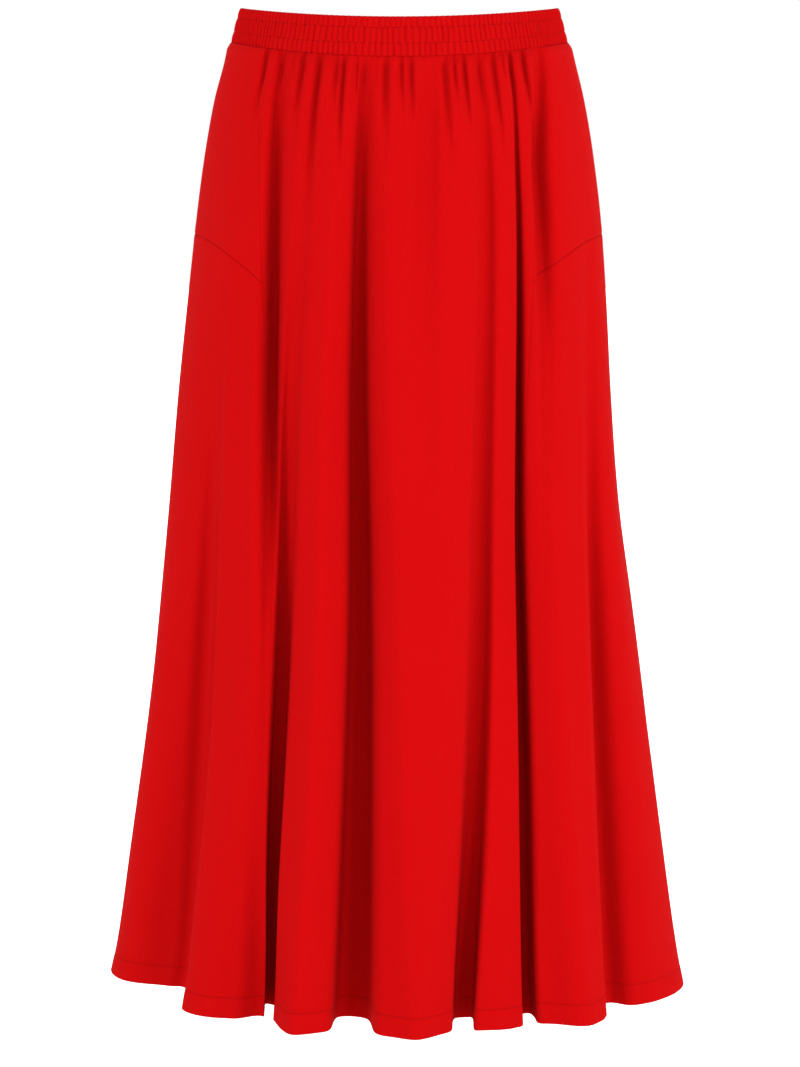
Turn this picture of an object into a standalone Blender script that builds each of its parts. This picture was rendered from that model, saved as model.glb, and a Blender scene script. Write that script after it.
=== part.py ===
"""A long flared skirt of plain red knit, hollow, as it hangs when it is worn.

Sizes are in millimetres and the meshes are made in metres, +Z up. The front faces -Y. The origin is the
middle of the waist, level with the sides of its top edge. Left and right are the wearer's, so left is +X.

Every piece is a stretch of one folded surface. A place on it is an angle round the body, 0 at the middle
of the front, 90 at the left side and 180 at the middle of the back, and a height below the waist.
"""

import math
from collections import namedtuple

import bmesh
import bpy
import numpy as np

MM = 0.001
HEM_HEIGHT = 920.5

# Cloth and seams
CLOTH = 1.2
SEAM_GAP = 0.3
TURN_UP = 20.0
TURN_UP_STEP = 0.8
RED = (0.74, 0.004, 0.006, 1.0)
DARK_RED = (0.66, 0.003, 0.005, 1.0)
KNIT_ROUGHNESS = 0.85
SHARP_ANGLE = 50.0

# Waistband: how far its edges lie below the waist at the sides and at the middle of the front and back,
# and how its ribs differ in depth and stray sideways
BAND_TOP_FRONT = 5.4
BAND_TOP_BACK = 10.0
BAND_FOOT_SIDE = 29.5
BAND_FOOT_FRONT = 40.6
BAND_FOOT_BACK = 45.0
BAND_WALL = 3.4
RIBS = 144
RIB_DEPTH = 1.2
RIB_UNEVEN = 0.25
RIB_UNEVEN_TURN = 1.7
RIB_DRIFT = 0.3
RIB_DRIFT_TURN = 0.9
RIB_DRIFT_SHIFT = 2.0

# Rows of sewing divide the ribs: share of the band's height, share of the rib's depth, set back
BandLevel = namedtuple("BandLevel", "share rib inset")
BAND_LEVELS = (
    BandLevel(0.00, 0.6, 0.5),
    BandLevel(0.27, 0.2, 1.0),
    BandLevel(0.48, 1.0, 0.0),
    BandLevel(0.68, 0.2, 1.0),
    BandLevel(0.85, 0.9, 0.1),
    BandLevel(1.00, 0.3, 0.9),
)

# The body under the folds: half widths to each side and half depths to front and back
Ring = namedtuple("Ring", "height left right front back")
RINGS = (
    Ring(0.0, 150.2, 147.4, 100.0, 100.0),
    Ring(29.0, 157.8, 155.1, 103.5, 104.0),
    Ring(46.0, 162.0, 158.6, 105.0, 106.0),
    Ring(82.0, 170.8, 168.2, 110.0, 113.0),
    Ring(130.0, 179.5, 176.8, 117.0, 124.0),
    Ring(193.0, 187.6, 186.0, 124.5, 135.0),
    Ring(268.0, 193.2, 195.2, 131.0, 141.0),
    Ring(343.0, 197.8, 203.5, 137.0, 144.5),
    Ring(457.0, 207.5, 214.2, 148.5, 153.0),
    Ring(553.0, 220.0, 224.8, 160.0, 163.0),
    Ring(669.0, 234.8, 238.6, 175.5, 178.0),
    Ring(787.0, 249.7, 254.5, 193.0, 194.0),
    Ring(887.0, 263.6, 269.3, 208.5, 208.0),
    Ring(920.5, 269.8, 276.7, 214.0, 213.0),
)
PUFF = 2.0
PUFF_HEIGHT = 3.5
# How far in the band lets the cloth under it be drawn, and how much further with each millimetre below
BAND_HOLD = 2.4
BAND_HOLD_SLOPE = 1.1

# Seams: the angle of the upright ones from the middle of the front or back, and the slanting hip seam
FOLD_HEIGHTS = (45.0, 150.0, 320.0, 600.0, 920.5)
UPRIGHT_SEAM = (50.0, 43.8, 37.2, 30.6, 28.7)
HIP_SEAM_SIDE = 206.0
HIP_SEAM_DROP = 38.0
HIP_SEAM_SPREAD = 50.0
HIP_SEAM_POWER = 3
CORNER_TRIES = 20

# Large folds: angle and depth at each of FOLD_HEIGHTS, widths to the lower and the higher angle at the waist
# and at the hem, how wide the floor is and how steep the wall by the hem is on each side, how far the floor
# leans to the higher angle, and what share of its width the floor loses at the hem
Fold = namedtuple("Fold", "name place depth low high floor steep lean pinch", defaults=(0.0,))
FOLD_ROWS = (
    ("right_hip", (-56, -55.5, -54.5, -53, -54.6), (0, 0, 4, 27, 60), (26, 36),
     (9, 16), (0.64, 0.2), (4, 7), -0.25),
    ("right_crease", (-56, -56, -57, -60, -62), (0, 0, 0, 7, 5), (6, 3.6), (6, 4.6), (0.5, 0.6), (4, 6), 0.0),
    ("right_upper", (-41.1, -38.4, -35.7, -31.2, -27), (5, 17, 27, 3, 0), (5, 6.5),
     (9, 9), (0.35, 0.3), (9, 4), -0.35),
    ("right_recess", (-26.5, -27, -27.4, -27.0, -27.4), (0, 2, 14, 38, 60), (13, 9),
     (10, 8), (0.27, 0.2), (12, 8), -0.37, 0.7),
    ("right_front", (-38, -38, -38, -38, -31.5), (0, 0, 2, 9, 26), (11, 20),
     (11, 11), (0.8, 0.8), (4, 4), 0.0),
    ("centre_right", (-10.7, -10.6, -10.2, -8.6, -8.9), (6, 22, 38, 54, 67), (8, 13),
     (8, 11), (0.22, 0.31), (8, 9), -0.12),
    ("centre_soft", (-1, -1, -1, -1, 0), (0, 0, 0, 1, 4), (5, 5), (5, 5), (0.5, 0.5), (4, 4), 0.0),
    ("centre_upper", (10.4, 7.8, 6.5, 6, 6), (6, 8, 3, 0, 0), (6, 7), (7, 8), (0.5, 0.5), (4, 4), 0.0),
    ("left_front", (26.4, 25.7, 23.6, 19.2, 12.8), (5, 9, 13, 27, 61), (7, 10),
     (7, 11), (0.3, 0.3), (5, 12), 0.16, 0.6),
    ("left_recess", (38.9, 36.6, 34.7, 30.7, 27.0), (4, 13, 32, 47, 52), (6, 13),
     (8, 14), (0.1, 0.07), (7, 2.6), 0.34, 0.4),
    ("left_upper", (51.4, 44.4, 42.8, 38, 34), (7, 18, 7, 0, 0), (5, 5), (7, 7), (0.35, 0.5), (8, 4), 0.3),
    ("left_front_bulge", (38, 38, 38, 38, 38), (0, 0, 0, -3, -9), (9, 9), (9, 9), (0.6, 0.6), (4, 4), 0.0),
    ("left_hip", (66, 66, 64, 55.6, 48.6), (0, 0, 5, 27, 34), (7, 5), (15, 15), (0.35, 0.3), (14, 4), 0.4),
    ("left_side_bulge", (74, 74, 74, 74, 74), (0, 0, 0, -3, -9), (18, 18), (16, 16), (0.6, 0.6), (4, 4), 0.0),
    ("left_side", (107, 107, 106, 105, 104), (0, 0, 3, 17, 38), (14, 14), (16, 14), (0.4, 0.4), (5, 7), 0.1),
    ("back_left_hip", (117, 118, 119, 124, 129), (0, 2, 8, 26, 50), (12, 14),
     (9, 10), (0.4, 0.25), (5, 10), -0.1),
    ("back_left_recess", (140, 143, 145.5, 150, 154.5), (5, 15, 30, 52, 70), (8, 12),
     (7, 8), (0.3, 0.25), (6, 9), -0.1),
    ("back_left", (153, 154.5, 157, 161.5, 168), (5, 9, 12, 30, 56), (7, 9),
     (7, 9), (0.3, 0.3), (9, 7), -0.1),
    ("back_upper", (171, 172, 173, 174, 175), (6, 8, 4, 0, 0), (6, 7), (6, 7), (0.5, 0.5), (4, 4), 0.0),
    ("back_centre", (190, 190, 190.5, 189, 188.5), (6, 20, 33, 50, 64), (8, 12),
     (8, 11), (0.35, 0.35), (8, 8), 0.05),
    ("back_right", (207, 207, 206.5, 208, 206.6), (0, 2, 14, 42, 74), (8, 9),
     (11, 12), (0.25, 0.3), (9, 6), 0.1),
    ("back_right_upper", (221, 219, 217, 211, 207), (5, 18, 25, 3, 0), (9, 9),
     (6, 7), (0.35, 0.35), (4, 8), 0.3),
    ("back_right_hip", (236, 236, 235, 232, 229), (0, 0, 4, 24, 50), (8, 11),
     (20, 16), (0.25, 0.45), (9, 5), 0.1),
    ("right_side", (256, 256, 257, 255, 254), (0, 0, 3, 16, 36), (13, 14), (13, 14), (0.4, 0.4), (6, 5), 0.0),
)
FOLDS = tuple(Fold(*row) for row in FOLD_ROWS)
# Share of each fold that is a wide soft hollow, so that the cloth rounds over between the folds
SOFT_SHARE = 0.35
# Steepness of a fold's walls near the waist
SOFT_STEEP = 4.0
# How far the hem's folds widen behind their edges, as a share of their depth
UNDERCUT = 0.12
# How late on the way down the floors that narrow do so
PINCH_POWER = 3

# Gathers under the band: angle, depth, half width and how far down they reach
Gather = namedtuple("Gather", "place depth width reach")
FRONT_GATHERS = (
    Gather(-48.6, 6.0, 2.7, 80),
    Gather(-41.1, 4.5, 2.5, 40),
    Gather(-36.2, 2.4, 1.8, 25),
    Gather(-32.3, 6.9, 2.7, 80),
    Gather(-26.0, 7.5, 2.7, 170),
    Gather(-20.1, 5.7, 2.2, 60),
    Gather(-17.5, 6.6, 2.2, 130),
    Gather(-13.4, 5.1, 2.1, 60),
    Gather(-10.7, 4.5, 2.2, 40),
    Gather(-7.0, 2.1, 1.5, 22),
    Gather(-3.5, 7.2, 2.7, 95),
    Gather(1.3, 5.1, 2.1, 55),
    Gather(4.4, 6.0, 2.3, 75),
    Gather(15.3, 7.2, 2.6, 110),
    Gather(18.3, 4.8, 2.0, 50),
    Gather(21.6, 6.6, 2.4, 80),
    Gather(26.5, 3.9, 2.3, 50),
    Gather(32.3, 7.2, 2.8, 110),
    Gather(35.6, 2.7, 1.8, 30),
    Gather(38.9, 4.5, 2.3, 60),
    Gather(44.8, 6.9, 2.7, 90),
)
GATHER_START = 0.75
GATHER_FULL = 9.0
GATHER_FLOOR = 0.35
# Share of its half width that a gather has on its lower and on its higher side
GATHER_SIDES = (1.35, 0.65)
BACK_GATHER_SHIFT = 0.9
BACK_GATHER_CHANGE = 0.2

# Columns across each piece, closer together near its upright seams, and rows as shares of each stretch
CENTRE_COLUMNS = 48
CENTRE_TIGHTEN = 0.2
SIDE_COLUMNS = 34
SIDE_TIGHTEN = 0.3
FINE_COLUMNS = 1200
GATHERED_SHARES = (0.0, 0.04, 0.12, 0.25, 0.42)
HIP_SHARES = (0.7, 1.0)
LOWER_SHARES = (0.12, 0.25, 0.38, 0.5, 0.62, 0.75, 0.88, 1.0)
TURN_UP_EDGE = 0.6
ANGLE_STEP = 0.02


def clear_scene():
    for thing in list(bpy.data.objects):
        bpy.data.objects.remove(thing)


def through(stations, values, at):
    """A smooth curve through a few stations, which never passes beyond them."""
    x = np.asarray(stations, float)
    y = np.asarray(values, float)
    step = np.diff(x)
    rise = np.diff(y) / step
    slope = np.concatenate(([rise[0]], np.zeros(len(y) - 2), [rise[-1]]))
    for k in range(1, len(y) - 1):
        if rise[k - 1] * rise[k] > 0:
            slope[k] = 2 / (1 / rise[k - 1] + 1 / rise[k])
    at = np.clip(at, x[0], x[-1])
    k = np.clip(np.searchsorted(x, at) - 1, 0, len(step) - 1)
    t = (at - x[k]) / step[k]
    start = y[k] * (1 + 2 * t) * (1 - t) ** 2 + y[k + 1] * t * t * (3 - 2 * t)
    return start + step[k] * t * (1 - t) * ((1 - t) * slope[k] - t * slope[k + 1])


def ease(share):
    share = np.clip(share, 0.0, 1.0)
    return share * share * (3 - 2 * share)


def turn(angle):
    """An angle brought to the range from -180 to 180."""
    return (np.asarray(angle, float) + 180.0) % 360.0 - 180.0


def unit(vectors):
    return vectors / np.linalg.norm(vectors, axis=-1, keepdims=True)


def faces_front(angle):
    return np.abs(turn(angle)) < 90.0


def towards_middle(angle):
    """1 at the middle of the front or back and 0 at the sides."""
    return np.cos(np.radians(angle)) ** 2


def band_top(angle):
    return np.where(faces_front(angle), BAND_TOP_FRONT, BAND_TOP_BACK) * towards_middle(angle)


def band_foot(angle):
    drop = np.where(faces_front(angle), BAND_FOOT_FRONT, BAND_FOOT_BACK) - BAND_FOOT_SIDE
    return BAND_FOOT_SIDE + drop * towards_middle(angle)


def hip_seam(angle):
    from_side = np.abs(90.0 - np.abs(turn(angle)))
    return HIP_SEAM_SIDE + HIP_SEAM_DROP * (from_side / HIP_SEAM_SPREAD) ** HIP_SEAM_POWER


def upright_seam(height):
    return through(FOLD_HEIGHTS, UPRIGHT_SEAM, height)


def body(height, angle):
    """The point on the body under the folds."""
    heights = [ring.height for ring in RINGS]
    sizes = {}
    for name in Ring._fields[1:]:
        sizes[name] = through(heights, [getattr(ring, name) for ring in RINGS], height)
    sine = np.sin(np.radians(angle))
    cosine = np.cos(np.radians(angle))
    across = np.where(sine > 0, sizes["left"], sizes["right"]) * sine
    along = -np.where(cosine > 0, sizes["front"], sizes["back"]) * cosine
    return np.stack([across, along], axis=-1)


def trough(offset, low, high, floor, steep=(SOFT_STEEP, SOFT_STEEP)):
    """1 on the fold's floor and 0 beyond its widths: a wide soft hollow with a steep one in it."""
    v = np.clip(offset / np.where(offset < 0, low, high), -1, 1)
    from_floor = np.abs(v) / np.where(offset < 0, floor[0], floor[1])
    wall = 1 / (1 + from_floor ** np.where(offset < 0, steep[0], steep[1]))
    return (1 - v * v) ** 2 * (SOFT_SHARE + (1 - SOFT_SHARE) * wall)


def large_folds(height, angle):
    """How far the cloth is drawn in, and how far its folds lean to one side."""
    down = np.clip((height - FOLD_HEIGHTS[0]) / (FOLD_HEIGHTS[-1] - FOLD_HEIGHTS[0]), 0, 1)
    inward = 0.0
    sideways = 0.0
    for fold in FOLDS:
        place = through(FOLD_HEIGHTS, fold.place, height)
        depth = through(FOLD_HEIGHTS, fold.depth, height)
        low = fold.low[0] + (fold.low[1] - fold.low[0]) * down
        high = fold.high[0] + (fold.high[1] - fold.high[0]) * down
        steep = [SOFT_STEEP + (power - SOFT_STEEP) * down for power in fold.steep]
        floor = [share * (1 - fold.pinch * down ** PINCH_POWER) for share in fold.floor]
        offset = turn(angle - place)
        drawn = depth * trough(offset, low, high, floor, steep)
        inward = inward + drawn
        from_middle = np.clip(offset / np.where(offset < 0, low * floor[0], high * floor[1]), -1, 1)
        sideways = sideways + (fold.lean + UNDERCUT * down * from_middle) * drawn
    return inward, sideways


def all_gathers():
    """The front's gathers, and the back's, which are like them in reverse order."""
    back = []
    for k, gather in enumerate(FRONT_GATHERS):
        change = 1 if k % 2 else -1
        place = 180.0 + gather.place + BACK_GATHER_SHIFT * change
        depth = gather.depth * (1 + BACK_GATHER_CHANGE * change)
        back.append(Gather(place, depth, gather.width, gather.reach))
    return FRONT_GATHERS + tuple(back)


def gathers(height, angle):
    """How far the small gathers draw the cloth in."""
    below = height - band_foot(angle)
    inward = 0.0
    for gather in all_gathers():
        start = GATHER_START + (1 - GATHER_START) * ease(below / GATHER_FULL)
        fade = 1 - ease((below - GATHER_FULL) / gather.reach)
        low, high = (gather.width * share for share in GATHER_SIDES)
        wave = trough(turn(angle - gather.place), low, high, (GATHER_FLOOR, GATHER_FLOOR))
        inward = inward + gather.depth * start * fade * wave
    return inward


def folded(height, angle):
    """The outer face of the cloth: the body, drawn in by folds and gathers and puffed out under the band."""
    along = unit(body(height, angle + ANGLE_STEP) - body(height, angle - ANGLE_STEP))
    out = np.stack([along[..., 1], -along[..., 0]], axis=-1)
    inward, sideways = large_folds(height, angle)
    inward = inward + gathers(height, angle)
    below = np.maximum(height - band_foot(angle), 0.0)
    room = BAND_HOLD + BAND_HOLD_SLOPE * below
    held = 1 / np.sqrt(1 + (np.maximum(inward, 0) / room) ** 2)
    inward = inward * held - PUFF * ease(below / (2 * PUFF_HEIGHT))
    sideways = sideways * held
    point = body(height, angle) - out * inward[..., None] + along * sideways[..., None]
    return np.concatenate([point, -height[..., None]], axis=-1)


def wall(height, angle, thickness):
    """Outer points, inner points square to the columns on each side, and the directions along the cloth."""
    height, angle, thickness = np.broadcast_arrays(np.asarray(height, float), angle, thickness)
    outer = folded(height, angle)
    along = unit(folded(height, angle + ANGLE_STEP) - folded(height, angle - ANGLE_STEP))
    steps = unit(np.diff(outer, axis=1))
    along[:, 1:-1] = unit(steps[:, 1:] + steps[:, :-1])
    out = np.stack([along[..., 1], -along[..., 0], np.zeros_like(along[..., 0])], axis=-1)
    return outer, outer - out * thickness[..., None], along


def seamed(outer, inner, along):
    """Both faces, with the first and last columns set back from the seam by half its gap."""
    for face in (outer, inner):
        face[:, 0] += along[:, 0] * SEAM_GAP / 2
        face[:, -1] -= along[:, -1] * SEAM_GAP / 2
    return outer, inner


def splits_down(upper, lower):
    """For each quad between two rows, whether the diagonal from its upper left corner is the shorter one."""
    choice = []
    for k in range(min(len(upper), len(lower)) - 1):
        down = (lower[k + 1].co - upper[k].co).length
        choice.append(down <= (upper[k + 1].co - lower[k].co).length)
    return choice


def strip(bm, first, second, down=None):
    """Triangles between two rows of corners, where one row may have twice the steps of the other."""
    if len(first) < len(second):
        made = strip(bm, second, first)
        bmesh.ops.reverse_faces(bm, faces=made)
        return made
    made = []
    if len(first) == len(second):
        down = down or splits_down(first, second)
        for k in range(len(first) - 1):
            if down[k]:
                made.append(bm.faces.new((first[k], second[k], second[k + 1])))
                made.append(bm.faces.new((first[k], second[k + 1], first[k + 1])))
            else:
                made.append(bm.faces.new((first[k], second[k], first[k + 1])))
                made.append(bm.faces.new((first[k + 1], second[k], second[k + 1])))
        return made
    for k in range(len(second) - 1):
        left, middle, right = first[2 * k : 2 * k + 3]
        made.append(bm.faces.new((left, second[k], middle)))
        made.append(bm.faces.new((middle, second[k], second[k + 1])))
        made.append(bm.faces.new((middle, second[k + 1], right)))
    return made


def corners(bm, row):
    return [bm.verts.new(point * MM) for point in row]


def close_wall(bm, outer_rows, inner_rows):
    """Skins both faces, then closes the top, the foot and the two sides."""
    choices = [splits_down(upper, lower) for upper, lower in zip(outer_rows, outer_rows[1:])]
    for upper, lower, down in zip(outer_rows, outer_rows[1:], choices):
        strip(bm, upper, lower, down)
    if len(inner_rows) != len(outer_rows):
        choices = [splits_down(upper, lower) for upper, lower in zip(inner_rows, inner_rows[1:])]
    for upper, lower, down in zip(inner_rows, inner_rows[1:], choices):
        bmesh.ops.reverse_faces(bm, faces=strip(bm, upper, lower, down))
    strip(bm, inner_rows[0], outer_rows[0])
    bmesh.ops.reverse_faces(bm, faces=strip(bm, inner_rows[-1], outer_rows[-1]))


def close_sides(bm, outer_rows, inner_rows):
    """Closes the first and last columns, split along the same diagonal, so that neighbours stay parted."""
    for end in (0, -1):
        outer = [row[end] for row in outer_rows]
        inner = [row[end] for row in inner_rows]
        for k in range(len(outer) - 1):
            above = [inner[k], outer[k + 1], outer[k]]
            below = [inner[k], inner[k + 1], outer[k + 1]]
            for face in (above, below):
                bm.faces.new(face if end == 0 else face[::-1])


def knit(name, colour):
    material = bpy.data.materials.new(name)
    material.use_nodes = True
    shader = material.node_tree.nodes["Principled BSDF"]
    shader.inputs["Base Color"].default_value = colour
    shader.inputs["Roughness"].default_value = KNIT_ROUGHNESS
    shader.inputs["Metallic"].default_value = 0.0
    return material


def add_object(name, bm, parent, colour):
    mesh = bpy.data.meshes.new(name)
    bm.normal_update()
    bm.to_mesh(mesh)
    bm.free()
    mesh.shade_smooth()
    mesh.set_sharp_from_angle(angle=math.radians(SHARP_ANGLE))
    mesh.materials.append(knit(name, colour))
    thing = bpy.data.objects.new(name, mesh)
    thing.parent = parent
    bpy.context.collection.objects.link(thing)
    return thing


def panel(name, parent, rows):
    """One cut piece from rows of (heights, angles, thickness), which may halve their columns on the way."""
    bm = bmesh.new()
    outer_rows = []
    inner_rows = []
    for height, angle, thickness in rows:
        outer, inner, along = wall(height[None, :], angle[None, :], thickness)
        outer, inner = seamed(outer, inner, along)
        outer_rows.append(corners(bm, outer[0]))
        inner_rows.append(corners(bm, inner[0]))
    close_wall(bm, outer_rows, inner_rows)
    close_sides(bm, outer_rows, inner_rows)
    return add_object(name, bm, parent, RED)


def spread(columns, tighten):
    """Shares across a piece, drawn together towards both ends."""
    even = np.linspace(0.0, 1.0, columns + 1)
    return (1 - tighten) * even + tighten * (1 - np.cos(math.pi * even)) / 2


def seam_top(middle):
    """Where the upright seams beside the middle of the front or back leave the band."""
    return float(band_foot(middle + UPRIGHT_SEAM[0])) + SEAM_GAP / 2


def hip_corner():
    """Where the slanting seam meets the upright one."""
    height = HIP_SEAM_SIDE + HIP_SEAM_DROP
    for _ in range(CORNER_TRIES):
        height = float(hip_seam(upright_seam(height)))
    return height


def upper_height(middle, share):
    return seam_top(middle) + share * (hip_corner() - seam_top(middle))


def lower_height(share):
    return hip_corner() + share * (HEM_HEIGHT - TURN_UP - TURN_UP_EDGE - hip_corner())


def even_angles(height, low, high, shares):
    """Angles between two at the given shares of the way along the folded cloth at one height."""
    angle = np.linspace(low, high, FINE_COLUMNS)
    steps = np.linalg.norm(np.diff(folded(np.full_like(angle, height), angle), axis=0), axis=-1)
    length = np.concatenate(([0.0], np.cumsum(steps)))
    return np.interp(shares * length[-1], length, angle)


def across_centre(middle, height, columns):
    """Angles across a centre panel between its upright seams."""
    half = upright_seam(height)
    return even_angles(height, middle - half, middle + half, spread(columns, CENTRE_TIGHTEN))


def across_side(side, front_height, back_height):
    """Angles across a side, in rising order, from one upright seam to the other."""
    front = upright_seam(front_height)
    back = 180.0 - upright_seam(back_height)
    low, high = (front, back) if side > 0 else (-back, -front)
    return even_angles(front_height, low, high, spread(SIDE_COLUMNS, SIDE_TIGHTEN))


def foot_rows(angle):
    """The foot of a panel, where the cloth is folded up inside and so is thicker."""
    level = np.ones_like(angle)
    edge = HEM_HEIGHT - TURN_UP
    thick = CLOTH + TURN_UP_STEP
    return [(edge * level, angle, thick), (HEM_HEIGHT * level, angle, thick)]


def centre_panel(name, parent, middle):
    """The gathered piece round the middle angle, with twice the columns where it is gathered."""
    corner = hip_corner()
    rows = []
    for share in GATHERED_SHARES + HIP_SHARES:
        columns = CENTRE_COLUMNS * (2 if share in GATHERED_SHARES else 1)
        top = band_foot(across_centre(middle, seam_top(middle), columns)) + SEAM_GAP / 2
        angle = across_centre(middle, upper_height(middle, share), columns)
        rows.append((top + share * (corner - top), angle, CLOTH))
    for share in LOWER_SHARES:
        angle = across_centre(middle, lower_height(share), CENTRE_COLUMNS)
        rows.append((lower_height(share) * np.ones_like(angle), angle, CLOTH))
    hem = across_centre(middle, HEM_HEIGHT, CENTRE_COLUMNS)
    return panel(name, parent, rows + foot_rows(hem))


def yoke(name, parent, side):
    def angles(share):
        return across_side(side, upper_height(0.0, share), upper_height(180.0, share))

    top = band_foot(angles(0.0)) + SEAM_GAP / 2
    foot = hip_seam(angles(1.0)) - SEAM_GAP / 2
    rows = [(top + share * (foot - top), angles(share), CLOTH) for share in GATHERED_SHARES + HIP_SHARES]
    return panel(name, parent, rows)


def side_panel(name, parent, side):
    def angles(height):
        return across_side(side, height, height)

    top = hip_seam(angles(hip_corner())) + SEAM_GAP / 2
    rows = []
    for share in (0.0,) + LOWER_SHARES:
        height = top + share * (lower_height(1.0) - top)
        rows.append((height, angles(lower_height(share)), CLOTH))
    return panel(name, parent, rows + foot_rows(angles(HEM_HEIGHT)))


def ring_corners(bm, height, angle, inset):
    """Corners all round, with the first again at the end."""
    around = unit(body(height, angle + ANGLE_STEP) - body(height, angle - ANGLE_STEP))
    out = np.stack([around[:, 1], -around[:, 0]], axis=-1)
    flat = body(height, angle) - out * inset
    made = corners(bm, np.concatenate([flat, -height[:, None]], axis=-1))
    return made + made[:1]


def waistband(parent):
    """A closed ring whose outer face has ribs between its rows of sewing, over a plain inner face."""
    bm = bmesh.new()
    columns = 2 * RIBS
    number = np.arange(columns)
    crest = (number % 2 == 0).astype(float)
    uneven = 1 - RIB_UNEVEN * (1 + np.sin(RIB_UNEVEN_TURN * number)) / 2
    step = 360.0 / columns
    outer_rows = []
    for place, level in enumerate(BAND_LEVELS):
        drift = RIB_DRIFT * np.sin(RIB_DRIFT_TURN * number + RIB_DRIFT_SHIFT * place)
        angle = turn(step * (number + drift))
        top = band_top(angle)
        height = top + level.share * (band_foot(angle) - SEAM_GAP / 2 - top)
        rib = RIB_DEPTH * (1 - level.rib * crest * uneven)
        inset = (level.inset + rib)[:, None]
        outer_rows.append(ring_corners(bm, height, angle, inset))
    angle = turn(2 * step * np.arange(RIBS))
    inner_rows = [
        ring_corners(bm, band_top(angle), angle, BAND_WALL),
        ring_corners(bm, band_foot(angle) - SEAM_GAP / 2, angle, BAND_WALL),
    ]
    close_wall(bm, outer_rows, inner_rows)
    return add_object("waistband", bm, parent, DARK_RED)


def main():
    clear_scene()
    skirt = bpy.data.objects.new("skirt", None)
    bpy.context.collection.objects.link(skirt)
    waistband(skirt)
    centre_panel("front_panel", skirt, 0.0)
    centre_panel("back_panel", skirt, 180.0)
    yoke("yoke_left", skirt, 1)
    yoke("yoke_right", skirt, -1)
    side_panel("side_panel_left", skirt, 1)
    side_panel("side_panel_right", skirt, -1)


main()
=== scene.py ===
"""The looks of a long flared skirt of plain red knit: its cloth, its sewing and a plain studio round it.

Tables are in millimetres and degrees, and the meshes are made in metres, +Z up. The front faces -Y. The
origin is the middle of the waist. Left and right are the wearer's, so left is +X. A place on the cloth is an
angle round the body, 0 at the middle of the front, 90 at the left side and 180 at the back, and a height
below the waist, which grows downwards.
"""

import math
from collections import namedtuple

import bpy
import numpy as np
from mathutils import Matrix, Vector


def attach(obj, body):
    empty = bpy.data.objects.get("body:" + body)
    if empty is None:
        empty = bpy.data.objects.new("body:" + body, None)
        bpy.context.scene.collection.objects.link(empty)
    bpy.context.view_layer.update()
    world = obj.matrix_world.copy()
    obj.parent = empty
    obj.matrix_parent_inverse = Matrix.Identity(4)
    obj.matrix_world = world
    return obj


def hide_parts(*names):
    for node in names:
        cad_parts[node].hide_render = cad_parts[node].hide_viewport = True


bl_info = {
    "name": "Red maxi skirt",
    "version": (1, 0, 0),
    "blender": (4, 5, 0),
    "location": "View3D > Sidebar > Skirt",
    "description": "Builds the cloth, the sewing and the studio of a long red knit skirt",
    "category": "Add Mesh",
}

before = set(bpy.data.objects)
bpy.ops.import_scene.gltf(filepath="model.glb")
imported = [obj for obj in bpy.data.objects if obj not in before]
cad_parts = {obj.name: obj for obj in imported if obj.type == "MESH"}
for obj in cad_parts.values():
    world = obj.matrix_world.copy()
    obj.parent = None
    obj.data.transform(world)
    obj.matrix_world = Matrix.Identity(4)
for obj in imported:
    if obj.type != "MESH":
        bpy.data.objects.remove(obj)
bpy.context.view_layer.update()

MM = 0.001
HEM_HEIGHT = 920.5

# Waistband: how far its edges lie below the waist at the sides and at the middle of the front and back
BAND_TOP_FRONT = 5.4
BAND_TOP_BACK = 10.0
BAND_FOOT_SIDE = 29.5
BAND_FOOT_FRONT = 40.6
BAND_FOOT_BACK = 45.0

# The three puckered rows of the band: share of its height where each ends, ribs all round, their depth, how
# far the row puffs out, and how far its ribs stray sideways
BandRow = namedtuple("BandRow", "end ribs depth puff wander")
BAND_ROWS = (
    BandRow(0.26, 184, 1.5, 0.6, 0.5),
    BandRow(0.67, 179, 1.9, 0.8, 0.6),
    BandRow(1.00, 176, 1.9, 0.7, 0.55),
)
# The band's rolled top edge, and how far the edge rises at the sides
BAND_EDGE_ROLL = 1.2
BAND_ROLL_ROUND = 0.7
BAND_ROLL_SHARES = (0.2, 0.35, 0.5, 0.65, 0.8)
BAND_SIDE_RISE = 1.8
# How far its two faces are set in, and the radius that its stitches are counted by
BAND_SET_BACK = 1.1
BAND_INSIDE = 4.4
BAND_RADIUS = 128.0
BAND_COLUMNS = 1440
BAND_ROW_STEPS = 13
BAND_INSIDE_STEPS = 6
# How much of a rib's depth is left at the sewing, and how round the rows puff out between
BAND_PINCH = 0.85
BAND_PUFF_ROUND = 0.6
# Ribs: how round their crests are, their depth inside and on the top edge, and each row's shift past the last
RIB_ROUND = 0.9
RIB_INSIDE = 0.35
RIB_TOP = 0.3
RIB_ROW_SHIFT = 0.4
# How the ribs stray: waves round the band, share and start
Stray = namedtuple("Stray", "waves share start")
RIB_STRAYS = (Stray(11, 1.0, 2.3), Stray(23, 0.6, 1.1))
# How the ribs differ in depth: the least, the change, and the waves and start of the change
RIB_LEAST = 0.85
RIB_CHANGE = 0.15
RIB_TURN = 0.37
RIB_WAVES = 13
RIB_START = 5.0

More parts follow.
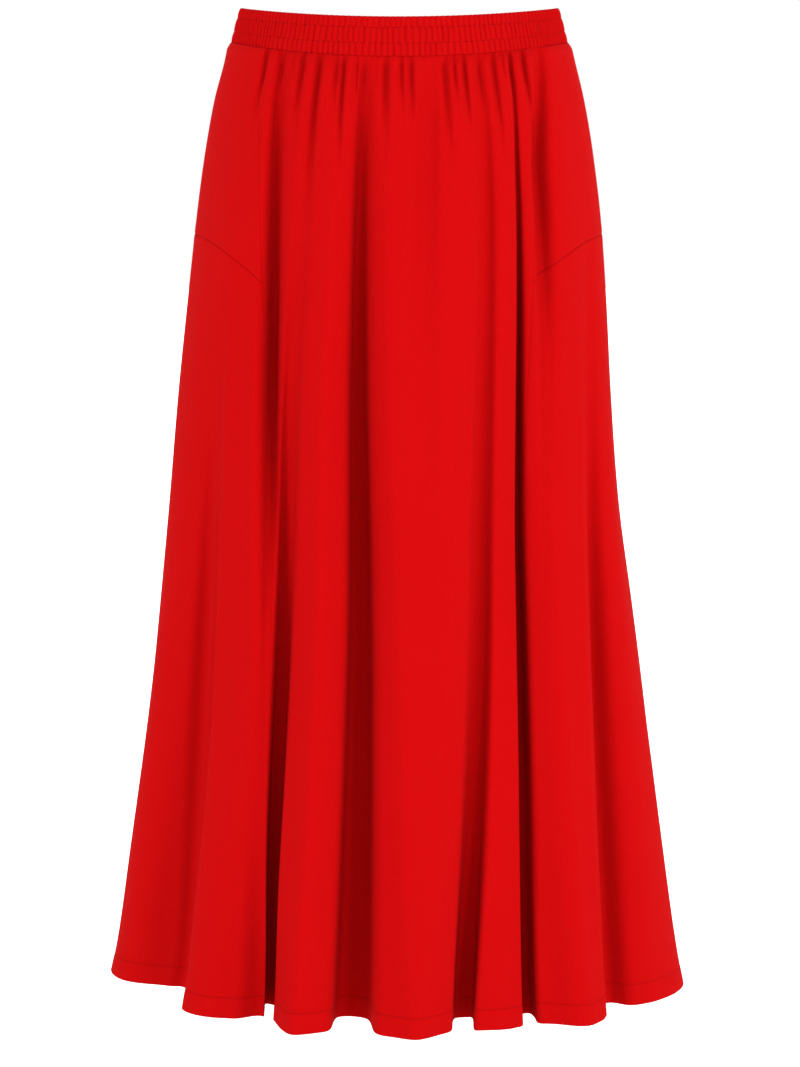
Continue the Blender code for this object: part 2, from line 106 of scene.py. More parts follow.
# The body under the folds: half widths to each side and half depths to front and back
Ring = namedtuple("Ring", "height left right front back")
RINGS = (
    Ring(0.0, 150.2, 147.4, 100.0, 100.0),
    Ring(29.0, 157.8, 155.1, 103.5, 104.0),
    Ring(46.0, 162.0, 158.6, 105.0, 106.0),
    Ring(82.0, 170.8, 168.2, 110.0, 113.0),
    Ring(130.0, 179.5, 176.8, 117.0, 124.0),
    Ring(193.0, 187.6, 186.0, 124.5, 135.0),
    Ring(268.0, 193.2, 195.2, 131.0, 141.0),
    Ring(343.0, 197.8, 203.5, 137.0, 144.5),
    Ring(457.0, 207.5, 214.2, 148.5, 153.0),
    Ring(553.0, 220.0, 224.8, 160.0, 163.0),
    Ring(669.0, 234.8, 238.6, 175.5, 178.0),
    Ring(787.0, 249.7, 254.5, 193.0, 194.0),
    Ring(887.0, 263.6, 269.3, 208.5, 208.0),
    Ring(920.5, 269.8, 276.7, 214.0, 213.0),
)
PUFF = 2.0
PUFF_HEIGHT = 3.5
# How far in the band lets the cloth under it be drawn, and how much further with each millimetre below
BAND_HOLD = 2.4
BAND_HOLD_SLOPE = 1.1

# Seams: the angle of the upright ones from the middle of the front or back, and the slanting hip seam
FOLD_HEIGHTS = (45.0, 150.0, 320.0, 600.0, 920.5)
UPRIGHT_SEAM = (50.0, 43.8, 37.2, 30.6, 28.7)
HIP_SEAM_SIDE = 206.0
HIP_SEAM_DROP = 38.0
HIP_SEAM_SPREAD = 50.0
HIP_SEAM_POWER = 3
CORNER_TRIES = 20

# Large folds: angle and depth at each of FOLD_HEIGHTS, widths to the lower and the higher angle at the waist
# and at the hem, how wide the floor is and how steep the wall by the hem is on each side, how far the floor
# leans to the higher angle, and what share of its width the floor loses at the hem
Fold = namedtuple("Fold", "name place depth low high floor steep lean pinch", defaults=(0.0, 0.0))
FOLD_ROWS = (
    ("right_hip", (-56, -55.5, -54.5, -53, -54.6), (0, 0, 4, 27, 60), (26, 36),
     (9, 16), (0.64, 0.2), (4, 7), -0.25),
    ("right_crease", (-56, -56, -57, -60, -62), (0, 0, 0, 7, 5), (6, 3.6), (6, 4.6), (0.5, 0.6), (4, 6)),
    ("right_upper", (-41.1, -38.4, -35.7, -31.2, -27), (5, 17, 27, 3, 0), (5, 6.5),
     (9, 9), (0.35, 0.3), (9, 4), -0.35),
    ("right_recess", (-26.5, -27, -27.4, -27.0, -27.4), (0, 2, 14, 38, 60), (13, 9),
     (10, 8), (0.27, 0.2), (12, 8), -0.37, 0.7),
    ("right_front", (-38, -38, -38, -38, -31.5), (0, 0, 2, 9, 26), (11, 20), (11, 11), (0.8, 0.8), (4, 4)),
    ("centre_right", (-10.7, -10.6, -10.2, -8.6, -8.9), (6, 22, 38, 54, 67), (8, 13),
     (8, 11), (0.22, 0.31), (8, 9), -0.12),
    ("centre_soft", (-1, -1, -1, -1, 0), (0, 0, 0, 1, 4), (5, 5), (5, 5), (0.5, 0.5), (4, 4)),
    ("centre_upper", (10.4, 7.8, 6.5, 6, 6), (6, 8, 3, 0, 0), (6, 7), (7, 8), (0.5, 0.5), (4, 4)),
    ("left_front", (26.4, 25.7, 23.6, 19.2, 12.8), (5, 9, 13, 27, 61), (7, 10),
     (7, 11), (0.3, 0.3), (5, 12), 0.16, 0.6),
    ("left_recess", (38.9, 36.6, 34.7, 30.7, 27.0), (4, 13, 32, 47, 52), (6, 13),
     (8, 14), (0.1, 0.07), (7, 2.6), 0.34, 0.4),
    ("left_upper", (51.4, 44.4, 42.8, 38, 34), (7, 18, 7, 0, 0), (5, 5), (7, 7), (0.35, 0.5), (8, 4), 0.3),
    ("left_front_bulge", (38, 38, 38, 38, 38), (0, 0, 0, -3, -9), (9, 9), (9, 9), (0.6, 0.6), (4, 4)),
    ("left_hip", (66, 66, 64, 55.6, 48.6), (0, 0, 5, 27, 34), (7, 5), (15, 15), (0.35, 0.3), (14, 4), 0.4),
    ("left_side_bulge", (74, 74, 74, 74, 74), (0, 0, 0, -3, -9), (18, 18), (16, 16), (0.6, 0.6), (4, 4)),
    ("left_side", (107, 107, 106, 105, 104), (0, 0, 3, 17, 38), (14, 14), (16, 14), (0.4, 0.4), (5, 7), 0.1),
    ("back_left_hip", (117, 118, 119, 124, 129), (0, 2, 8, 26, 50), (12, 14),
     (9, 10), (0.4, 0.25), (5, 10), -0.1),
    ("back_left_recess", (140, 143, 145.5, 150, 154.5), (5, 15, 30, 52, 70), (8, 12),
     (7, 8), (0.3, 0.25), (6, 9), -0.1),
    ("back_left", (153, 154.5, 157, 161.5, 168), (5, 9, 12, 30, 56), (7, 9),
     (7, 9), (0.3, 0.3), (9, 7), -0.1),
    ("back_upper", (171, 172, 173, 174, 175), (6, 8, 4, 0, 0), (6, 7), (6, 7), (0.5, 0.5), (4, 4)),
    ("back_centre", (190, 190, 190.5, 189, 188.5), (6, 20, 33, 50, 64), (8, 12),
     (8, 11), (0.35, 0.35), (8, 8), 0.05),
    ("back_right", (207, 207, 206.5, 208, 206.6), (0, 2, 14, 42, 74), (8, 9),
     (11, 12), (0.25, 0.3), (9, 6), 0.1),
    ("back_right_upper", (221, 219, 217, 211, 207), (5, 18, 25, 3, 0), (9, 9),
     (6, 7), (0.35, 0.35), (4, 8), 0.3),
    ("back_right_hip", (236, 236, 235, 232, 229), (0, 0, 4, 24, 50), (8, 11),
     (20, 16), (0.25, 0.45), (9, 5), 0.1),
    ("right_side", (256, 256, 257, 255, 254), (0, 0, 3, 16, 36), (13, 14), (13, 14), (0.4, 0.4), (6, 5)),
)
FOLDS = tuple(Fold(*row) for row in FOLD_ROWS)
# Share of each fold that is a wide soft hollow, so that the cloth rounds over between the folds
SOFT_SHARE = 0.35
# Steepness of a fold's walls near the waist
SOFT_STEEP = 4.0
# How far the hem's folds widen behind their edges, as a share of their depth
UNDERCUT = 0.12
# How late on the way down the floors that narrow do so
PINCH_POWER = 3

# Gathers under the band: angle, depth, half width and how far down they reach
Gather = namedtuple("Gather", "place depth width reach")
FRONT_GATHERS = (
    Gather(-48.6, 6.0, 2.7, 80),
    Gather(-41.1, 4.5, 2.5, 40),
    Gather(-36.2, 2.4, 1.8, 25),
    Gather(-32.3, 6.9, 2.7, 80),
    Gather(-26.0, 7.5, 2.7, 170),
    Gather(-20.1, 5.7, 2.2, 60),
    Gather(-17.5, 6.6, 2.2, 130),
    Gather(-13.4, 5.1, 2.1, 60),
    Gather(-10.7, 4.5, 2.2, 40),
    Gather(-7.0, 2.1, 1.5, 22),
    Gather(-3.5, 7.2, 2.7, 95),
    Gather(1.3, 5.1, 2.1, 55),
    Gather(4.4, 6.0, 2.3, 75),
    Gather(15.3, 7.2, 2.6, 110),
    Gather(18.3, 4.8, 2.0, 50),
    Gather(21.6, 6.6, 2.4, 80),
    Gather(26.5, 3.9, 2.3, 50),
    Gather(32.3, 7.2, 2.8, 110),
    Gather(35.6, 2.7, 1.8, 30),
    Gather(38.9, 4.5, 2.3, 60),
    Gather(44.8, 6.9, 2.7, 90),
)
GATHER_START = 0.75
GATHER_FULL = 9.0
GATHER_FLOOR = 0.35
# Share of its half width that a gather has on its lower and on its higher side
GATHER_SIDES = (1.35, 0.65)
BACK_GATHER_SHIFT = 0.9
BACK_GATHER_CHANGE = 0.2

# Small puckers right under the band, which die out downwards and past the upright seams: ribs all round,
# depth, reach, how far the ribs stray, in how many waves, the angle they fade over and what is left at a seam
PUCKER_RIBS = 141
PUCKER_DEPTH = 0.55
PUCKER_REACH = 7.0
PUCKER_STRAY = 1.4
PUCKER_WAVES = 7
PUCKER_FADE = 8.0
PUCKER_AT_SEAM = 0.35

# Slow unevenness of the hanging cloth: waves round the body, waves down the height, size and start
Wave = namedtuple("Wave", "round down size start")
UNEVEN = (
    Wave(11, 1.3, 0.5, 0.4),
    Wave(23, -0.7, 0.22, 2.1),
    Wave(7, 2.6, 0.5, 1.2),
)
UNEVEN_FADE = 120.0

# Sewn edges: how far the cloth dips at a seam and over what distance, the rise beside it, and how far the
# edges run past each other
SEAM_DIP = 0.7
SEAM_ROLL = 1.7
SEAM_RISE = 0.15
SEAM_RISE_PLACE = 5.0
SEAM_RISE_WIDTH = 2.6
SEAM_OVERLAP = 0.3
# How far the painted shade beside a seam reaches
SEAM_SHADE_REACH = 0.9
# The upright seams dip less than the others, as if they lay this much further off
UPRIGHT_SEAM_SOFTER = 0.7
EDGE_STEPS = (0.0, 0.3, 0.7, 1.2, 1.8, 2.6, 3.8, 5.4)
# Where the even rows start and end, as shares of the last step at the piece's start or end
START_ROOM = 1.3
END_ROOM = 1.1

# Hem: the turned-up cloth, the groove of its stitching with painted shade in it, and the round of the fold at
# the foot
TURN_UP = 20.0
TURN_UP_STEP = 0.8
HEM_STITCH = 19.0
HEM_GROOVE = 0.25
HEM_GROOVE_WIDTH = 1.1
HEM_SHADE = 0.5
HEM_SWELL = 0.2
HEM_SWELL_REACH = 4.0
HEM_ROLL_STEPS = 5
# Rows up from the hem: close at the fold, at the stitching and at the turn-up's edge
HEM_STEPS = (
    0.0, 0.3, 0.7, 1.2, 3.0, 7.0, 11.0, 15.5, 17.0, 18.0, 18.6, 19.0, 19.4, 19.9, 20.1, 20.8, 22.0, 24.0,
)

# Columns and rows of each kind of piece, and how much closer the rows lie at the top
CENTRE_COLUMNS = 260
CENTRE_ROWS = 120
CENTRE_CLOSER = 1.8
SIDE_COLUMNS = 230
SIDE_ROWS = 90
YOKE_ROWS = 40
SIDE_CLOSER = 0.4
FINE_COLUMNS = 1200
PANEL_WIDTH = 500.0
ANGLE_STEP = 0.02
HEIGHT_STEP = 0.1

# Sewing thread, and a stitch's rings: place along it, thickness and rise
STITCH = 3.0
STITCH_SPACE = 0.7
THREAD = 0.3
THREAD_SIDES = 6
ThreadRing = namedtuple("ThreadRing", "place size rise")
THREAD_RINGS = (
    ThreadRing(-0.5, 0.35, -0.35),
    ThreadRing(-0.36, 0.9, 0.05),
    ThreadRing(0.0, 1.0, 0.2),
    ThreadRing(0.36, 0.9, 0.05),
    ThreadRing(0.5, 0.35, -0.35),
)
THREAD_AHEAD = 1.0
HEM_THREAD_INSET = 2

# What the knit's node group takes and gives
KNIT_SOCKETS = (
    ("INPUT", "NodeSocketColor", ("Colour", "Deep Colour")),
    ("INPUT", "NodeSocketFloat", ("Wale", "Course", "Roughness")),
    ("OUTPUT", "NodeSocketColor", ("Colour",)),
    ("OUTPUT", "NodeSocketFloat", ("Roughness", "Height")),
)
# The knit's stitches: how far each V slants, how flat its column's middle is, and how far painted shade and
# random tone deepen the colour
STITCH_SLANT = 0.55
COLUMN_FLAT = 4.0
# Painted shade in the gaps between the stitches
STITCH_GAP_SHADE = 0.16
CLOUD_DEEP = 0.16
FUZZ_DEEP = 0.10
# Painted shade along the seams, in the band's rib creases and in the hem groove
PAINTED_SHADE_SHARE = 0.45
CLOUD_SCALE = 9.0
FUZZ_SCALE = 900.0
FUZZ_ROUGH = 0.08
FUZZ_RISE = 0.4
KNIT_RELIEF = 0.12 * MM

# Thread: its twist, how dark the painted shade in the twist's grooves is, and its relief
TWIST_SCALE = 900.0
TWIST_GROOVE_SHADE = 0.6
TWIST_RELIEF = 0.08 * MM

# Flat sizes of what shows, in metres: width and length of the smallest rectangle, and the cut's own area
Cut = namedtuple("Cut", "width length area")

# Soft lights: place and size in metres, and share of the power
Softbox = namedtuple("Softbox", "name place size share")
SOFTBOXES = (
    Softbox("left_light", (-2.4, -1.7, 0.1), (1.5, 2.6), 0.38),
    Softbox("right_light", (2.4, -1.7, 0.1), (1.5, 2.6), 0.42),
    Softbox("key_light", (1.5, -2.7, 0.3), (0.4, 0.6), 0.2),
)
# Half the floor's width, how far its own glow whitens it for the camera, and the camera's sensor
FLOOR_HALF = 9000.0
FLOOR_GLOW = 0.9
SENSOR = 36.0


class ClothSettings(bpy.types.PropertyGroup):
    """The knit that the skirt is cut from."""

    colour: bpy.props.FloatVectorProperty(
        name="Knit colour", description="Colour of the knit", subtype="COLOR", size=3, min=0, max=1,
        default=(0.42, 0.0012, 0.0017),
    )
    # Darker colour for the knit's random tone and its painted shade, and the thread's own colour
    deep_colour: bpy.props.FloatVectorProperty(
        name="Deep colour", description="Colour between the stitches and along seams", subtype="COLOR",
        size=3, min=0, max=1, default=(0.26, 0.0005, 0.001),
    )
    thickness: bpy.props.FloatProperty(
        name="Thickness", description="Thickness of one layer of cloth", unit="LENGTH", default=1.2 * MM,
    )
    wale: bpy.props.FloatProperty(
        name="Wale width", description="Width of a column of knit stitches", unit="LENGTH", default=0.9 * MM,
    )
    course: bpy.props.FloatProperty(
        name="Course height", description="Height of a row of knit stitches", unit="LENGTH", default=0.7 * MM,
    )
    roughness: bpy.props.FloatProperty(
        name="Roughness", description="How matt the knit is", subtype="FACTOR", min=0, max=1, default=0.88,
    )


class StudioSettings(bpy.types.PropertyGroup):
    """The floor, the lights and the camera."""

    floor_drop: bpy.props.FloatProperty(
        name="Floor below the waist", description="Height of the waist above the floor", unit="LENGTH",
        default=1.03,
    )
    floor_colour: bpy.props.FloatVectorProperty(
        name="Floor colour", description="Colour of the floor", subtype="COLOR", size=3, min=0, max=1,
        default=(0.92, 0.92, 0.92),
    )
    camera_distance: bpy.props.FloatProperty(
        name="Camera distance", description="From the camera to the middle of the waist", unit="LENGTH",
        default=3.0,
    )
    camera_tilt: bpy.props.FloatProperty(
        name="Camera tilt", description="How far the camera looks down", subtype="ANGLE",
        default=math.radians(9.29),
    )
    camera_side: bpy.props.FloatProperty(
        name="Camera to the side", description="How far it stands to +X", unit="LENGTH", default=0.0019,
    )
    lens: bpy.props.FloatProperty(
        name="Lens", description="Focal length on a 36 mm sensor as tall as the picture", default=107.97,
    )
    light_power: bpy.props.FloatProperty(
        name="Light power", description="Power of all the soft lights together", unit="POWER", default=116.0,
    )
    sky: bpy.props.FloatProperty(
        name="Room light", description="Strength of the light from all round", default=1.2,
    )


def through(stations, values, at):
    """A smooth curve through a few stations, which never passes beyond them."""
    x = np.asarray(stations, float)
    y = np.asarray(values, float)
    step = np.diff(x)
    rise = np.diff(y) / step
    slope = np.concatenate(([rise[0]], np.zeros(len(y) - 2), [rise[-1]]))
    for k in range(1, len(y) - 1):
        if rise[k - 1] * rise[k] > 0:
            slope[k] = 2 / (1 / rise[k - 1] + 1 / rise[k])
    at = np.clip(at, x[0], x[-1])
    k = np.clip(np.searchsorted(x, at) - 1, 0, len(step) - 1)
    t = (at - x[k]) / step[k]
    start = y[k] * (1 + 2 * t) * (1 - t) ** 2 + y[k + 1] * t * t * (3 - 2 * t)
    return start + step[k] * t * (1 - t) * ((1 - t) * slope[k] - t * slope[k + 1])


def ease(share):
    share = np.clip(share, 0.0, 1.0)
    return share * share * (3 - 2 * share)


def hump(distance, width):
    """1 in the middle of a soft ridge, and nearly 0 past twice its width."""
    return np.exp(-((distance / width) ** 2))


def unit(vectors):
    return vectors / np.linalg.norm(vectors, axis=-1, keepdims=True)


def turn(angle):
    """An angle brought to the range from -180 to 180."""
    return (np.asarray(angle, float) + 180.0) % 360.0 - 180.0


def faces_front(angle):
    return np.abs(turn(angle)) < 90.0


def towards_middle(angle):
    """1 at the middle of the front or back and 0 at the sides."""
    return np.cos(np.radians(angle)) ** 2


def band_top(angle):
    return np.where(faces_front(angle), BAND_TOP_FRONT, BAND_TOP_BACK) * towards_middle(angle)


def band_foot(angle):
    drop = np.where(faces_front(angle), BAND_FOOT_FRONT, BAND_FOOT_BACK) - BAND_FOOT_SIDE
    return BAND_FOOT_SIDE + drop * towards_middle(angle)


def hip_seam(angle):
    from_side = np.abs(90.0 - np.abs(turn(angle)))
    return HIP_SEAM_SIDE + HIP_SEAM_DROP * (from_side / HIP_SEAM_SPREAD) ** HIP_SEAM_POWER


def upright_seam(height):
    return through(FOLD_HEIGHTS, UPRIGHT_SEAM, height)


def body(height, angle):
    """The point on the body under the folds."""
    heights = [ring.height for ring in RINGS]
    sizes = {}
    for name in Ring._fields[1:]:
        sizes[name] = through(heights, [getattr(ring, name) for ring in RINGS], height)
    sine = np.sin(np.radians(angle))
    cosine = np.cos(np.radians(angle))
    across = np.where(sine > 0, sizes["left"], sizes["right"]) * sine
    along = -np.where(cosine > 0, sizes["front"], sizes["back"]) * cosine
    return np.stack([across, along], axis=-1)


def body_out(height, angle):
    """The level directions along the body, towards higher angles, and out of it."""
    along = unit(body(height, angle + ANGLE_STEP) - body(height, angle - ANGLE_STEP))
    return along, np.stack([along[..., 1], -along[..., 0]], axis=-1)


def trough(offset, low, high, floor, steep=(SOFT_STEEP, SOFT_STEEP)):
    """1 on the fold's floor and 0 beyond its widths: a wide soft hollow with a steep one in it."""
    v = np.clip(offset / np.where(offset < 0, low, high), -1, 1)
    from_floor = np.abs(v) / np.where(offset < 0, floor[0], floor[1])
    wall = 1 / (1 + from_floor ** np.where(offset < 0, steep[0], steep[1]))
    return (1 - v * v) ** 2 * (SOFT_SHARE + (1 - SOFT_SHARE) * wall)


def large_folds(height, angle):
    """How far the cloth is drawn in, and how far its folds lean to one side."""
    down = np.clip((height - FOLD_HEIGHTS[0]) / (FOLD_HEIGHTS[-1] - FOLD_HEIGHTS[0]), 0, 1)
    inward = 0.0
    sideways = 0.0
    for fold in FOLDS:
        place = through(FOLD_HEIGHTS, fold.place, height)
        depth = through(FOLD_HEIGHTS, fold.depth, height)
        low = fold.low[0] + (fold.low[1] - fold.low[0]) * down
        high = fold.high[0] + (fold.high[1] - fold.high[0]) * down
        steep = [SOFT_STEEP + (power - SOFT_STEEP) * down for power in fold.steep]
        floor = [share * (1 - fold.pinch * down ** PINCH_POWER) for share in fold.floor]
        offset = turn(angle - place)
        drawn = depth * trough(offset, low, high, floor, steep)
        inward = inward + drawn
        from_middle = np.clip(offset / np.where(offset < 0, low * floor[0], high * floor[1]), -1, 1)
        sideways = sideways + (fold.lean + UNDERCUT * down * from_middle) * drawn
    return inward, sideways


def all_gathers():
    """The front's gathers, and the back's, which are like them in reverse order."""
    back = []
    for k, gather in enumerate(FRONT_GATHERS):
        change = 1 if k % 2 else -1
        place = 180.0 + gather.place + BACK_GATHER_SHIFT * change
        depth = gather.depth * (1 + BACK_GATHER_CHANGE * change)
        back.append(Gather(place, depth, gather.width, gather.reach))
    return FRONT_GATHERS + tuple(back)


def gathers(height, angle):
    """How far the small gathers draw the cloth in."""
    below = height - band_foot(angle)
    inward = 0.0
    for gather in all_gathers():
        start = GATHER_START + (1 - GATHER_START) * ease(below / GATHER_FULL)
        fade = 1 - ease((below - GATHER_FULL) / gather.reach)
        low, high = (gather.width * share for share in GATHER_SIDES)
        wave = trough(turn(angle - gather.place), low, high, (GATHER_FLOOR, GATHER_FLOOR))
        inward = inward + gather.depth * start * fade * wave
    return inward


def puckers(height, angle):
    """Short puckers that the band's elastic draws into the cloth under it, deeper in the gathered middle."""
    below = np.maximum(height - band_foot(angle), 0.0)
    middle = ease((UPRIGHT_SEAM[0] - np.abs(turn(2 * angle)) / 2) / PUCKER_FADE + PUCKER_AT_SEAM)
    ribs = PUCKER_RIBS * np.radians(angle) + PUCKER_STRAY * np.sin(PUCKER_WAVES * np.radians(angle))
    return PUCKER_DEPTH * middle * np.exp(-below / PUCKER_REACH) * (1 - np.abs(np.cos(ribs / 2)))


def unevenness(height, angle):
    """Slow shallow waves, which leave no stretch of the cloth quite smooth."""
    settled = ease((height - BAND_FOOT_FRONT) / UNEVEN_FADE)
    total = 0.0
    for wave in UNEVEN:
        total = total + wave.size * np.sin(
            np.radians(wave.round * angle) + wave.down * math.tau * height / HEM_HEIGHT + wave.start
        )
    return settled * total


def folded(height, angle):
    """The outer face of the cloth: the body, drawn in by folds and gathers and puffed out under the band."""
    along, out = body_out(height, angle)
    inward, sideways = large_folds(height, angle)
    inward = inward + gathers(height, angle)
    below = np.maximum(height - band_foot(angle), 0.0)
    room = BAND_HOLD + BAND_HOLD_SLOPE * below
    held = 1 / np.sqrt(1 + (np.maximum(inward, 0) / room) ** 2)
    inward = inward * held - PUFF * ease(below / (2 * PUFF_HEIGHT))
    sideways = sideways * held
    inward = inward + puckers(height, angle) + unevenness(height, angle)
    point = body(height, angle) - out * inward[..., None] + along * sideways[..., None]
    return np.concatenate([point, -height[..., None]], axis=-1)


def out_of(height, angle):
    """Directions out of the cloth, the same on both sides of a seam."""
    across = folded(height, angle + ANGLE_STEP) - folded(height, angle - ANGLE_STEP)
    down = folded(height + HEIGHT_STEP, angle) - folded(height - HEIGHT_STEP, angle)
    return unit(np.cross(down, across))


def lengths_along(points, axis):
    """Distance along the cloth from the first row or column."""
    steps = np.linalg.norm(np.diff(points, axis=axis), axis=-1)
    start = np.zeros_like(np.take(steps, [0], axis=axis))
    return np.concatenate([start, np.cumsum(steps, axis=axis)], axis=axis)


def spaced(length, count, closer=0.0, start_steps=EDGE_STEPS, end_steps=EDGE_STEPS):
    """Shares of a length, drawn together towards its start, with the given steps at each end."""
    even = np.linspace(0.0, 1.0, count + 1)
    even = (even + closer * even * even) / (1 + closer)
    start = np.array(start_steps) / length
    end = 1 - np.array(end_steps)[::-1] / length
    between = even[(even > start[-1] * START_ROOM) & (even < 1 - (1 - end[0]) * END_ROOM)]
    return np.concatenate([start, between, end])


Sheet = namedtuple("Sheet", "points out seam_top seam_foot hem")


def new_sheet(height, angle, seam_top=True, seam_foot=False, hem=False):
    """A piece's outer face before it is sewn, and which of its level edges are seams or the hem."""
    height, angle = np.broadcast_arrays(height, angle)
    return Sheet(folded(height, angle), out_of(height, angle), seam_top, seam_foot, hem)


def seam_distance(sheet):
    """Distance along the cloth from the nearest sewn edge."""
    across = lengths_along(sheet.points, 1)
    down = lengths_along(sheet.points, 0)
    nearest = np.minimum(across, across[:, -1:] - across) + UPRIGHT_SEAM_SOFTER
    if sheet.seam_top:
        nearest = np.minimum(nearest, down)
    if sheet.seam_foot:
        nearest = np.minimum(nearest, down[-1:] - down)
    return nearest


def sewn(sheet):
    """The outer face with its dipping seams and hem groove, and the painted shade along both."""
    nearest = seam_distance(sheet)
    lift = SEAM_RISE * hump(nearest - SEAM_RISE_PLACE, SEAM_RISE_WIDTH)
    lift -= SEAM_DIP * np.clip(1 - nearest / SEAM_ROLL, 0, 1) ** 2
    shade = hump(nearest, SEAM_SHADE_REACH)
    if sheet.hem:
        above_hem = HEM_HEIGHT + sheet.points[..., 2]
        groove = hump(above_hem - HEM_STITCH, HEM_GROOVE_WIDTH)
        lift += HEM_SWELL * ease((HEM_STITCH - above_hem) / HEM_SWELL_REACH) - HEM_GROOVE * groove
        # Painted shade in the groove of the hem's stitching
        shade = np.maximum(shade, HEM_SHADE * groove)
    return sheet.points + sheet.out * lift[..., None], shade


def parted(points):
    """Moves the first and last columns past their seams by half the overlap."""
    first = unit(points[:, 1] - points[:, 0])
    last = unit(points[:, -2] - points[:, -1])
    points[:, 0] -= first * SEAM_OVERLAP / 2
    points[:, -1] -= last * SEAM_OVERLAP / 2
    return points


def shell_loops(sheet, thickness):
    """Rows of points down the outer face, round the foot and up the inner face, and their shade."""
    outer, shade = sewn(sheet)
    outer = parted(outer)
    thick = np.full(outer.shape[:2], thickness)
    if sheet.hem:
        above_hem = HEM_HEIGHT + sheet.points[..., 2]
        thick = thick + TURN_UP_STEP * (above_hem < TURN_UP)
    inner = outer - sheet.out * thick[..., None]
    foot = []
    if sheet.hem:
        radius = thick[-1][:, None] / 2
        middle = (outer[-1] + inner[-1]) / 2
        down = np.array([0.0, 0.0, -1.0])
        for step in range(1, HEM_ROLL_STEPS):
            angle = math.pi * step / HEM_ROLL_STEPS
            foot.append(middle + (sheet.out[-1] * math.cos(angle) + down * math.sin(angle)) * radius)
    foot = np.array(foot).reshape(-1, outer.shape[1], 3)
    loop = np.concatenate([outer, foot, inner[::-1]])
    shades = np.concatenate([shade, np.zeros(foot.shape[:2]), shade[::-1]])
    return loop, shades


def grid_faces(rows, columns, close_rows, close_columns):
    """Quads between the corners of a grid, which may close on itself either way."""
    row = np.arange(rows if close_rows else rows - 1)[:, None]
    column = np.arange(columns if close_columns else columns - 1)[None, :]
    next_row = (row + 1) % rows
    next_column = (column + 1) % columns
    corners = [row * columns + column, next_row * columns + column]
    corners += [next_row * columns + next_column, row * columns + next_column]
    return np.stack([np.broadcast_to(c, (len(row), column.shape[1])).ravel() for c in corners], axis=-1)


def side_faces(rows, columns):
    """Closes the first and last column between the outer and the inner face."""
    faces = []
    for k in range((rows - 1) // 2):
        mirror = rows - 1 - k
        first = [k, mirror, mirror - 1, k + 1]
        faces.append([corner * columns for corner in first])
        faces.append([corner * columns + columns - 1 for corner in first[::-1]])
    return np.array(faces)


def new_mesh(name, points, faces, uv=None, shade=None):
    """A smooth mesh object from points in millimetres."""
    faces = np.asarray(faces)
    mesh = bpy.data.meshes.new(name)
    mesh.vertices.add(len(points))
    mesh.vertices.foreach_set("co", (np.asarray(points) * MM).astype(np.float32).ravel())
    mesh.loops.add(faces.size)
    mesh.loops.foreach_set("vertex_index", faces.ravel().astype(np.int32))
    mesh.polygons.add(len(faces))
    mesh.polygons.foreach_set("loop_start", (np.arange(len(faces)) * faces.shape[1]).astype(np.int32))
    mesh.update(calc_edges=True)
    if uv is not None:
        layer = mesh.uv_layers.new(name="Cloth")
        layer.uv.foreach_set("vector", (uv[faces.ravel()] * MM).astype(np.float32).ravel())
    if shade is not None:
        attribute = mesh.attributes.new("seam_shade", "FLOAT", "POINT")
        attribute.data.foreach_set("value", shade.astype(np.float32).ravel())
    mesh.validate()
    mesh.shade_smooth()
    thing = bpy.data.objects.new(name, mesh)
    bpy.context.collection.objects.link(thing)
    return thing


def cloth_piece(name, sheet, thickness):
    """One cut piece as a closed thin shell, with its place along the cloth as its UV map."""
    loop, shade = shell_loops(sheet, thickness)
    rows, columns = loop.shape[:2]
    faces = np.concatenate([grid_faces(rows, columns, True, False), side_faces(rows, columns)])
    across = lengths_along(loop, 1)
    across = across - across[:, -1:] / 2
    down = np.broadcast_to(lengths_along(loop, 0)[:, columns // 2][:, None], across.shape)
    uv = np.stack([across, -down], axis=-1).reshape(-1, 2)
    return new_mesh(name, loop.reshape(-1, 3), faces, uv, shade)


def seam_top(middle):
    """Where the upright seams beside the middle of the front or back leave the band."""
    return float(band_foot(middle + UPRIGHT_SEAM[0]))


def hip_corner():
    """Where the slanting seam meets the upright one."""
    height = HIP_SEAM_SIDE + HIP_SEAM_DROP
    for _ in range(CORNER_TRIES):
        height = float(hip_seam(upright_seam(height)))
    return height


def hem_foot(thickness):
    """Height of the last row of the outer face, above the round of the hem's fold."""
    return HEM_HEIGHT - (thickness + TURN_UP_STEP) / 2


def even_angles(height, low, high, shares):
    """Angles between two at the given shares of the way along the folded cloth, a row for each height."""
    fine = np.linspace(0.0, 1.0, FINE_COLUMNS)[None, :]
    angle = low + fine * (high - low)
    along = lengths_along(folded(np.broadcast_to(height, angle.shape), angle), 1)
    rows = []
    for length, across in zip(along, angle):
        rows.append(np.interp(shares * length[-1], length, across))
    return np.array(rows)


def centre_sheet(middle, thickness):
    """The gathered piece round the middle angle."""
    top = seam_top(middle)
    corner = hip_corner()
    foot = hem_foot(thickness)
    share = spaced(foot - top, CENTRE_ROWS, CENTRE_CLOSER, end_steps=HEM_STEPS)
    edge = (top + share * (foot - top))[:, None]
    half = upright_seam(edge)
    angle = even_angles(edge, middle - half, middle + half, spaced(PANEL_WIDTH, CENTRE_COLUMNS))
    start = band_foot(angle[0])
    upper = start + (edge - top) / (corner - top) * (corner - start) - SEAM_OVERLAP / 2
    height = np.where(edge < corner, upper, edge)
    return new_sheet(height, angle, hem=True)


def across_side(side, front_height, back_height, height):
    """Angles across a side, in rising order, from one upright seam to the other."""
    front = upright_seam(front_height)
    back = 180.0 - upright_seam(back_height)
    low, high = (front, back) if side > 0 else (-back, -front)
    return even_angles(height, low, high, spaced(PANEL_WIDTH, SIDE_COLUMNS))


